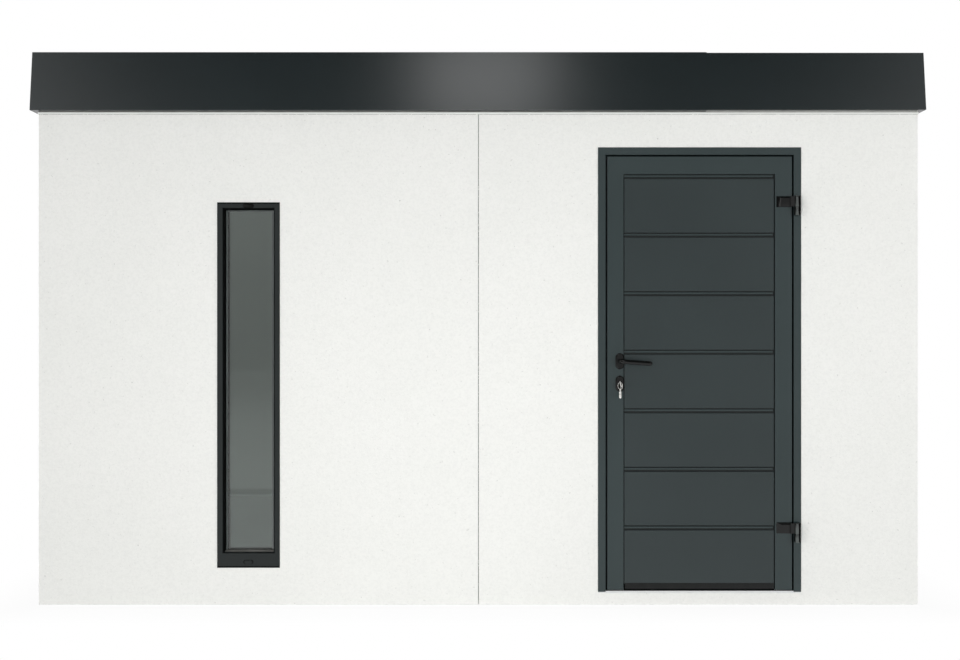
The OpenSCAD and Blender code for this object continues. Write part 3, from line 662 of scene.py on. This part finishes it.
# a dark foil sheet just in front of the core, behind the planks: painted shade in the grooves and
# the gaps at the plank ends
bm = bmesh.new()
inFront, behind = leaf["backing"]
block(bm, (stileIn, plankHigh.y - inFront, infillLow.z),
      (infillHigh.x, plankHigh.y + behind, infillHigh.z))
keep("leaf_shade_backing", bm, "foiledPvc", "leaf", "black_seal")
bm = bmesh.new()
barTop = plankFoot + pitch - leaf["barAt"]
block(bm, (plankLow.x, plankLow.y + leaf["barBehind"], barTop - leaf["barHeight"]),
      (plankHigh.x - leaf["barEnd"], plankHigh.y, barTop))
keepStack("groove_bars", bm, leaf["planks"], step, "litPowderCoatedAluminium", "leaf", "door_metal",
          (), 0.8)
sealLow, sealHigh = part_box("leaf_bottom_seal")
bm = bmesh.new()
block(bm, (sealLow.x + leaf["dripEnd"], sealLow.y - leaf["dripOut"], footZ + leaf["dripLift"]),
      (sealHigh.x - leaf["dripEnd"], sealLow.y, sealHigh.z + leaf["dripOver"]))
keep("leaf_drip_strip", bm, "nylonPile", "leaf", "black_seal", (), 1.2)
soften("leaf_bottom_seal", "epdmRubberShadeBlack", "leaf", "black_seal", 0.8)

print("hinges")
hinge = {"axisIn": 0.0135, "barrelR": 0.0106, "chamfer": 0.0009, "sides": 48, "height": 0.05,
         "lowerLen": 0.0385, "lowerGap": 0.0005, "lowerChamfer": 0.0014,
         "pinR": 0.0072, "pinFoot": 0.002, "pinTop": 0.001, "pinChamfer": 0.0008, "pinSides": 24,
         "arm": 0.012, "armFront": 0.0005, "armBack": 0.0105, "armEase": 0.002,
         "tongue": (0.001, 0.021), "plate": (0.0111, 0.0141), "plateOut": 0.0102,
         "plateSunk": 0.001,
         # depth, then how far the left, upper and lower edges lie in at that depth
         "wing": ((0, 0, 0, 0), (0.0006, 0, 0, 0), (0.0102, 0.0138, 0.0066, 0.0012),
                  (0.0113, 0.0168, 0.0084, 0.0058), (0.012, 0.0186, 0.0096, 0.0078))}
wingLow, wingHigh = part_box("hinge_leaf_wings")
hingeX = wingHigh.x - hinge["axisIn"]
hingeY = wingLow.y + hinge["axisIn"]
tall, ease = hinge["height"], hinge["armEase"]
wings = (wingLow.z, wingHigh.z - tall)


def barrel(bm, radius, z0, z1, chamfer, sides):  # a round post on the axis with eased ends
    rim = radius - chamfer * 0.35
    turns = [tau * i / sides for i in range(sides)]
    loft(bm, [[(hingeX + r * cos(a), hingeY + r * sin(a), z) for a in turns]
              for r, z in ((radius - chamfer, z0), (rim, z0 + chamfer * 0.3),
                           (radius, z0 + chamfer), (radius, z1 - chamfer),
                           (rim, z1 - chamfer * 0.3), (radius - chamfer, z1))])


bm = bmesh.new()
for z in wings:
    rings = []
    for depth, left, upper, lower in hinge["wing"]:
        x0, y0, z0, z1 = wingLow.x + left, leafLow.y - depth, z + lower, z + tall - upper
        rings.append([(x0, y0, z0), (leafHigh.x, y0, z0), (leafHigh.x, y0, z1), (x0, y0, z1)])
    loft(bm, rings)
    block(bm, (leafHigh.x - hinge["arm"], hingeY - hinge["armFront"], z + ease),
          (hingeX, hingeY + hinge["armBack"], z + tall - ease))
keep("hinge_wings", bm, "glossBlackZinc", "leaf", "black_metal", ["hinge_leaf_wings"], 0.5)
bm = bmesh.new()
for z in wings:
    barrel(bm, hinge["barrelR"], z, z + tall, hinge["chamfer"], hinge["sides"])
keep("hinge_wing_knuckles", bm, "brushedZinc", "leaf", "black_metal")
bm = bmesh.new()
jambEdge = frameHigh.x - jambFace
for z in wings:
    foot, head = z - hinge["lowerLen"], z - hinge["lowerGap"]
    barrel(bm, hinge["barrelR"], foot, head, hinge["lowerChamfer"], hinge["sides"])
    barrel(bm, hinge["pinR"], z - hinge["pinFoot"], z + tall - hinge["pinTop"],
           hinge["pinChamfer"], hinge["pinSides"])
    block(bm, (jambEdge + hinge["tongue"][0], hingeY, foot + ease),
          (jambEdge + hinge["tongue"][1], frameLow.y, head - ease))
keep("hinge_frame_pins", bm, "brushedZinc", "cabin", "black_metal", ["hinge_frame_knuckles"], 0.7)
# a thin black plate right of each pair of knuckles: partly the hinge's frame wing, partly painted
# shade in the gap beside the knuckles
bm = bmesh.new()
for z in wings:
    block(bm, (hingeX + hinge["plate"][0], hingeY - hinge["plateOut"], z - hinge["lowerLen"]),
          (hingeX + hinge["plate"][1], frameLow.y + hinge["plateSunk"], z + tall))
keep("hinge_frame_plates_shade", bm, "glossBlackZinc", "cabin", "black_metal", (), 0.6)

print("handle")
handle = {"roseH": 0.073, "roseThick": 0.009, "roseEdge": 0.0054, "neckR": 0.0105,
          "gripR": 0.0103, "bend": 0.019, "droop": 4, "gripLen": 0.141, "gripOut": 0.05,
          "sides": 32, "spindle": 0.004, "gap": 0.0005, "bendSteps": 12, "endSteps": 8,
          "endTurn": 88, "roseEase": (0.2, 0.72)}
roseLow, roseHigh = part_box("handle_roses")
roseW, roseH = roseHigh.x - roseLow.x, handle["roseH"]
leverX = (roseLow.x + roseHigh.x) / 2
leverZ = roseHigh.z - roseH / 2
lockZ = roseLow.z + roseH / 2


def stadium(x, z, w, h, inner=0, count=20):  # points of a plate with round ends
    r, reach = w / 2 - inner, (h - w) / 2
    points = []
    for side, shift in ((0, reach), (1, -reach)):
        for i in range(count + 1):
            a = pi * (side + i / count)
            points.append((x + r * cos(a), z + shift + r * sin(a)))
    return points


def tube(bm, path, radii, sides):  # rings square to a path, with closed ends
    rings = []
    side = Vector((0, 0, 1))
    for i, p in enumerate(path):
        ahead = (path[min(i + 1, len(path) - 1)] - path[max(i - 1, 0)]).normalized()
        up = (side - ahead * side.dot(ahead)).normalized()
        across = ahead.cross(up)
        rings.append([p + radii[i] * (cos(tau * k / sides) * up
                                      + sin(tau * k / sides) * across)
                      for k in range(sides)])
    loft(bm, rings)


bm = bmesh.new()
thick, edge = handle["roseThick"], handle["roseEdge"]
easeIn, easeUp = handle["roseEase"]
dome = ((0, 0), (0, thick - edge), (edge * easeIn, thick - edge * easeUp), (edge, thick))
for face, out in ((leafLow.y, -1), (leafBack, 1)):
    for middle in (leverZ, lockZ):
        loft(bm, [[(x, face + out * high, z) for x, z in
                   stadium(leverX, middle, roseW, roseH, inner)] for inner, high in dome])
keep("roses_domed", bm, "glossBlackZinc", "leaf", "black_metal", ["handle_roses"])


# the window's two oval caps
cap = {"upperZ": 1.8155, "upperSize": (0.051, 0.0195, 0.003), "lowerZ": 0.1948,
       "lowerSize": (0.0365, 0.0165, 0.003), "lowerShadeRim": (0.0455, 0.019, 0.0006), "sunk": 0.001,
       "rim": ((0, 0.5), (0.0007, 0.85), (0.0022, 1.0))}  # how far in, at what share of the height
windowX = (windowLow.x + windowHigh.x) / 2


def hood(bm, z, size):  # a flat oval with an eased rim, on the window's face
    w, h, thick = size
    levels = [(0, windowFace + cap["sunk"])]
    levels += [(inner, windowFace - thick * share) for inner, share in cap["rim"]]
    loft(bm, [[(windowX + pz * (1 - 2 * inner / w), y, z - px * (1 - 2 * inner / h))
               for px, pz in stadium(0, 0, h, w)] for inner, y in levels])


bm = bmesh.new()
hood(bm, cap["upperZ"], cap["upperSize"])
# a black oval a little larger than the lower cap, under it: painted shadow round the cap's edge
hood(bm, cap["lowerZ"], cap["lowerShadeRim"])
keep("cap_upper", bm, "glossBlackAbs", "cabin", "black_cap", ["window_caps"])
bm = bmesh.new()
hood(bm, cap["lowerZ"], cap["lowerSize"])
keep("cap_lower", bm, "foiledPvc", "cabin", "window_frame")


def leverMesh(bm, face, out):  # neck out of the rose, an easy bend, a grip that hangs a little
    bend, r, droop = handle["bend"], handle["gripR"], radians(handle["droop"])
    lean = Vector((cos(droop), 0, -sin(droop)))
    start = Vector((leverX, face, leverZ))
    outward = Vector((0, out, 0))
    neck = handle["gripOut"] - bend
    path = [start, start + outward * neck * 0.5, start + outward * neck]
    centre = path[-1] + lean * bend
    for i in range(1, handle["bendSteps"] + 1):
        a = radians(90) * i / handle["bendSteps"]
        path.append(centre - lean * bend * cos(a) + outward * bend * sin(a))
    end = path[-1]
    straight = handle["gripLen"] - bend - r
    path += [end + lean * straight * share for share in (0.25, 0.5, 0.75, 1.0)]
    radii = [handle["neckR"]] * 3 + [r] * (len(path) - 3)
    for i in range(1, handle["endSteps"] + 1):  # the grip's round end
        a = radians(handle["endTurn"]) * i / handle["endSteps"]
        path.append(end + lean * (straight + r * sin(a)))
        radii.append(r * cos(a))
    tube(bm, path, radii, handle["sides"])


spindle, gap = handle["spindle"], handle["gap"]
bm = bmesh.new()
leverMesh(bm, leafLow.y - gap, -1)
block(bm, (leverX - spindle, leafLow.y - gap, leverZ - spindle),
      (leverX + spindle, leafBack + gap, leverZ + spindle))
keep("lever_outer", bm, "glossBlackZinc", "lever", "black_metal", ["lever_outside"])
bm = bmesh.new()
leverMesh(bm, leafBack + gap, 1)
keep("lever_inner", bm, "glossBlackZinc", "lever", "black_metal", ["lever_inside"])
soften("lock_cylinder", "glossBlackZinc", "leaf", "black_metal", 0.4)

print("keys")
# distances from the face of the roses outwards, and up from the lock's axis
keySet = {"turn": 12, "thick": 0.003, "bow": (0.025, 0.031), "bowAt": (0.015, -0.0025),
          "hole": (0.019, 0.008), "holeR": 0.0026, "blade": (0.0024, 0.008),
          "bladeEnds": (-0.004, 0.0045), "ringR": 0.0155, "wireR": 0.00095, "ringTurn": 54,
          "ringSteps": 48, "sides": 12, "neck": (0.0056, 0.017), "neckThick": 0.0018,
          "neckHoleR": 0.0017, "neckHoleUp": 0.0005, "slack": 0.0012, "spareW": 0.0118,
          "spareFoot": 0.9405, "spareThick": 0.0024, "shoulder": 0.003, "tip": (0.004, 0.003)}
roseFace = leafLow.y - handle["roseThick"]
turn, swing = radians(keySet["turn"]), radians(keySet["ringTurn"])
upward = Vector((0, 0, 1))
along = Vector((cos(swing), -sin(swing), 0))
across = Vector((sin(swing), cos(swing), 0))


def onBow(out, up, side):  # a point of the turned key
    return (leverX - sin(turn) * up + cos(turn) * side, roseFace - out,
            lockZ + cos(turn) * up + sin(turn) * side)


def pierce(bm, at, outer, hole, thick):  # a flat plate with one hole through it
    loft(bm, [[at(u, v, side) for u, v in points] for points, side in (
        (outer, -thick / 2), (outer, thick / 2), (hole, thick / 2), (hole, -thick / 2))],
        closed=True)


def roundHole(u, v, r):
    return stadium(u, v, 2 * r, 2 * r + 0.0001)


bm = bmesh.new()
pierce(bm, onBow, stadium(*keySet["bowAt"], *keySet["bow"]),
       roundHole(*keySet["hole"], keySet["holeR"]), keySet["thick"])
w, h = keySet["blade"][0] / 2, keySet["blade"][1] / 2
loft(bm, [[onBow(out, up, side) for up, side in ((-h, -w), (-h, w), (h, w), (h, -w))]
          for out in keySet["bladeEnds"]])
ringR, wireR, slack = keySet["ringR"], keySet["wireR"], keySet["slack"]
ringMid = Vector(onBow(*keySet["hole"], 0)) - upward * slack - upward * ringR
rings = []
for i in range(keySet["ringSteps"]):
    a = tau * i / keySet["ringSteps"]
    outward = cos(a) * along + sin(a) * upward
    rings.append([ringMid + outward * (ringR + wireR * cos(b)) + across * wireR * sin(b)
                  for b in (tau * k / keySet["sides"] for k in range(keySet["sides"]))])
loft(bm, rings, closed=True)
hang = ringMid - upward * ringR


def onSpare(u, v, side):  # a point of the spare key, from where it hangs on the ring
    return hang + across * u + upward * v + along * side


neckW, neckH = keySet["neck"]
neckTop = neckW / 2 + slack
pierce(bm, onSpare, stadium(0, neckTop - neckH / 2, neckW, neckH),
       roundHole(0, keySet["neckHoleUp"], keySet["neckHoleR"]), keySet["neckThick"])
spareFoot = keySet["spareFoot"] - hang.z
reach, cut = keySet["spareW"] / 2, keySet["shoulder"]
shoulder = neckTop - neckH + cut
tipIn, tipUp = keySet["tip"]
bladeHalf = [(reach, shoulder - cut), (reach, spareFoot + tipUp), (reach - tipIn, spareFoot)]
outline = ([(-reach, shoulder - cut), (cut - reach, shoulder), (reach - cut, shoulder)]
           + bladeHalf + [(-u, v) for u, v in bladeHalf[:0:-1]])
loft(bm, [[onSpare(u, v, side) for u, v in outline]
          for side in (-keySet["spareThick"] / 2, keySet["spareThick"] / 2)])
keep("keys_on_ring", bm, "nickelPlate", "leaf", "nickel", ["keys"], 0.3)

print("studio")
studio = {
    "cameraPlace": (0.008, -6.5, 1.25), "lens": 41.2, "sensor": 36, "ambient": 0.3,
    "floorWidth": 60.0, "floorColour": "#f2f2f2", "shadeWidth": 0.35, "shade": 0.93,
    "dimFrom": 3.0, "dimTo": 20.0, "dimmed": 0.65,
    # what gloss sees in front: height in the view and the grey there
    "heights": ((0.0, 0.57), (0.05, 0.6), (0.11, 0.7), (0.16, 0.6), (0.2, 0.58), (0.235, 0.12),
                (0.27, 0.02), (1.0, 0.02)),
    # bright wings: side, where one starts and is full, and its level
    "wings": ((-1, 0.22, 0.33, 2.0), (1, 0.23, 0.34, 1.6)), "wingLean": (0.19, 0.26, -0.1),
    "corners": ((-0.5, -0.64), (0.48, 0.7)), "cornerTone": 0.06, "horizon": 0.3,
    # dark streaks on the floor in front, seen only in gloss as painted reflections in the window
    # glass: middle, half a width, and how dark
    "mirroredStreaks": ((-4.896, 0.0825, 0.2), (-4.996, 0.0175, 0.45), (-4.796, 0.0175, 0.45)),
}
lamps = {  # place, target, size, level of the face, seen in gloss, lights the matt surfaces
    "fasciaBox": ((0.06, -7.5, 4.2), (0.06, -1.5, 2.0), (1.3, 1.0), 5.0, True, False),
    "leftBox": ((-6.5, -7.0, 0.8), (-0.5, -1.5, 0.7), (3.0, 3.0), 7.6, False, True),
    "rightBox": ((6.5, -7.0, 0.8), (0.5, -1.5, 0.7), (3.0, 3.0), 11.9, False, True),
    "backBox": ((0.0, 8.0, 2.6), (0.0, 1.5, 1.2), (4.0, 3.0), 6.2, False, True),
    "leftSideBox": ((-8.5, 2.5, 2.2), (-2.0, 0.4, 1.2), (3.0, 3.0), 4.0, False, True),
    "rightSideBox": ((8.5, 2.5, 2.2), (2.0, 0.4, 1.2), (3.0, 3.0), 4.0, False, True),
    "frontBox": ((-0.2, -4.6, 0.66), (-0.2, -1.5, 0.66), (1.0, 1.0), 8.5, False, True),
}


def makeWorld():
    world = bpy.data.worlds.new("whiteStudio")
    scene.world = world
    world.use_nodes = True
    tree = world.node_tree
    tree.nodes.clear()
    ray = addNode(tree, "ShaderNodeLightPath")
    way = addNode(tree, "ShaderNodeSeparateXYZ", {
        0: addNode(tree, "ShaderNodeTexCoord").outputs["Generated"]})
    # what gloss and glass see: white behind the cabin, a grey studio in front of it that is
    # darker above head height and in its far corners
    front = addNode(tree, "ShaderNodeMapRange", {
        "Value": way.outputs["Y"], "From Min": -studio["horizon"], "From Max": studio["horizon"],
        "To Min": 0.0, "To Max": 1.0})
    seen = addNode(tree, "ShaderNodeValToRGB", {0: way.outputs["Z"]})
    steps = seen.color_ramp.elements
    (_, lowest), *between, (_, highest) = studio["heights"]
    for place, tone in between:
        steps.new(place).color = (tone, tone, tone, 1)
    steps[0].color = (lowest, lowest, lowest, 1)
    steps[-1].color = (highest, highest, highest, 1)
    # the bright wings on both sides lean outwards above head height
    leanFrom, leanTo, leanBy = studio["wingLean"]
    lean = addNode(tree, "ShaderNodeMapRange", {
        "Value": way.outputs["Z"], "From Min": leanFrom, "From Max": leanTo, "To Min": 0.0,
        "To Max": leanBy})
    for side, start, end, tone in studio["wings"]:
        reach = addNode(tree, "ShaderNodeMath", {
            0: way.outputs["X"], 1: side, 2: lean.outputs[0]}, operation="MULTIPLY_ADD")
        wing = addNode(tree, "ShaderNodeMapRange", {
            "Value": reach.outputs[0], "From Min": start, "From Max": end, "To Max": tone})
        seen = addNode(tree, "ShaderNodeMath", {0: seen.outputs[0], 1: wing.outputs[0]},
                       operation="MAXIMUM")
    for start, end in studio["corners"]:
        corner = addNode(tree, "ShaderNodeMapRange", {
            "Value": way.outputs["X"], "From Min": start, "From Max": end, "To Min": 1.0,
            "To Max": studio["cornerTone"]})
        seen = addNode(tree, "ShaderNodeMath", {0: seen.outputs[0], 1: corner.outputs[0]},
                       operation="MULTIPLY")
    seen = addNode(tree, "ShaderNodeMath", {0: front.outputs[0], 1: seen.outputs[0]},
                   operation="MAXIMUM")
    mirrored = addNode(tree, "ShaderNodeMath", {
        0: ray.outputs["Is Glossy Ray"], 1: ray.outputs["Is Transmission Ray"]},
        operation="MAXIMUM")
    level = addNode(tree, "ShaderNodeMix", {
        0: mirrored.outputs[0], 2: studio["ambient"], 3: seen.outputs[0]}, data_type="FLOAT")
    white = addNode(tree, "ShaderNodeMix", {
        0: ray.outputs["Is Camera Ray"], 2: level.outputs[0], 3: 1.0}, data_type="FLOAT")
    sky = addNode(tree, "ShaderNodeBackground", {
        "Color": (1, 1, 1, 1), "Strength": white.outputs[0]})
    addNode(tree, "ShaderNodeOutputWorld", {"Surface": sky.outputs[0]})


def makeFloor():
    bm = bmesh.new()
    bmesh.ops.create_grid(bm, x_segments=4, y_segments=4, size=studio["floorWidth"] / 2)
    mesh = closeMesh("studio_floor", bm)
    addObject("studio_floor", mesh)
    material = bpy.data.materials.new("paleFloor")
    material.use_nodes = True
    tree = material.node_tree
    tree.nodes.clear()
    ray = addNode(tree, "ShaderNodeLightPath")
    place = addNode(tree, "ShaderNodeTexCoord").outputs["Object"]
    far = addNode(tree, "ShaderNodeVectorMath", {0: place}, operation="LENGTH")
    split = addNode(tree, "ShaderNodeSeparateXYZ", {0: place})
    gaps = []  # how far a point lies outside the walls
    for axis, half in (("X", halfW), ("Y", halfD)):
        size = addNode(tree, "ShaderNodeMath", {0: split.outputs[axis]}, operation="ABSOLUTE")
        gaps.append(addNode(tree, "ShaderNodeMath", {0: size.outputs[0], 1: half},
                            operation="SUBTRACT").outputs[0])
    off = addNode(tree, "ShaderNodeMath", {0: gaps[0], 1: gaps[1]}, operation="MAXIMUM")
    fade = addNode(tree, "ShaderNodeMapRange", {
        "Value": off.outputs[0], "From Min": 0.0, "From Max": studio["shadeWidth"],
        "To Min": studio["shade"], "To Max": 1.0})
    shaded = addNode(tree, "ShaderNodeMapRange", {
        "Value": far.outputs["Value"], "From Min": studio["dimFrom"],
        "From Max": studio["dimTo"], "To Min": 1.0, "To Max": studio["dimmed"]})
    # two dark streaks and the strip between them, seen only by gloss rays: painted reflections in
    # the window glass
    for middle, half, dark in studio["mirroredStreaks"]:
        on = addNode(tree, "ShaderNodeMath", {0: split.outputs["Y"], 1: middle, 2: half},
                     operation="COMPARE")
        left = addNode(tree, "ShaderNodeMath", {0: on.outputs[0], 1: -dark, 2: 1.0},
                       operation="MULTIPLY_ADD")
        shaded = addNode(tree, "ShaderNodeMath", {0: shaded.outputs[0], 1: left.outputs[0]},
                         operation="MULTIPLY")
    level = addNode(tree, "ShaderNodeMix", {
        0: ray.outputs["Is Glossy Ray"], 2: 1.0, 3: shaded.outputs[0]}, data_type="FLOAT")
    seen = ray.outputs["Is Camera Ray"]
    for kind in ("Is Transmission Ray", "Is Glossy Ray"):
        seen = addNode(tree, "ShaderNodeMath", {0: seen, 1: ray.outputs[kind]},
                       operation="MAXIMUM").outputs[0]
    share = addNode(tree, "ShaderNodeMath", {0: seen, 1: fade.outputs[0]},
                    operation="MULTIPLY")
    matt = addNode(tree, "ShaderNodeBsdfDiffuse", {"Color": toLinear(studio["floorColour"])})
    glow = addNode(tree, "ShaderNodeEmission", {
        "Color": (1, 1, 1, 1), "Strength": level.outputs[0]})
    mixed = addNode(tree, "ShaderNodeMixShader", {
        0: share.outputs[0], 1: matt.outputs[0], 2: glow.outputs[0]})
    addNode(tree, "ShaderNodeOutputMaterial", {"Surface": mixed.outputs[0]})
    mesh.materials.append(material)


def addLamp(name, place, target, size, radiance, mirrored, lights):
    # a soft box whose face glows at that level
    light = bpy.data.lights.new(name, "AREA")
    light.shape = "RECTANGLE"
    light.size, light.size_y = size
    light.energy = radiance * pi * size[0] * size[1]
    lamp = addObject(name, light)
    lamp.location = place
    lamp.rotation_euler = (Vector(target) - Vector(place)).to_track_quat("-Z", "Y").to_euler()
    lamp.visible_glossy = mirrored
    lamp.visible_diffuse = lights
    lamp.visible_transmission = False  # else the panes would mirror it from inside


makeWorld()
makeFloor()
for name, values in lamps.items():
    addLamp(name, *values)

camera = bpy.data.cameras.new("camera")
camera.lens = studio["lens"]
camera.sensor_width = studio["sensor"]
camera.clip_end = 200
view = addObject("camera", camera)
view.location = studio["cameraPlace"]
view.rotation_euler = (radians(90), 0, 0)
scene.camera = view
scene.view_settings.view_transform = "Standard"
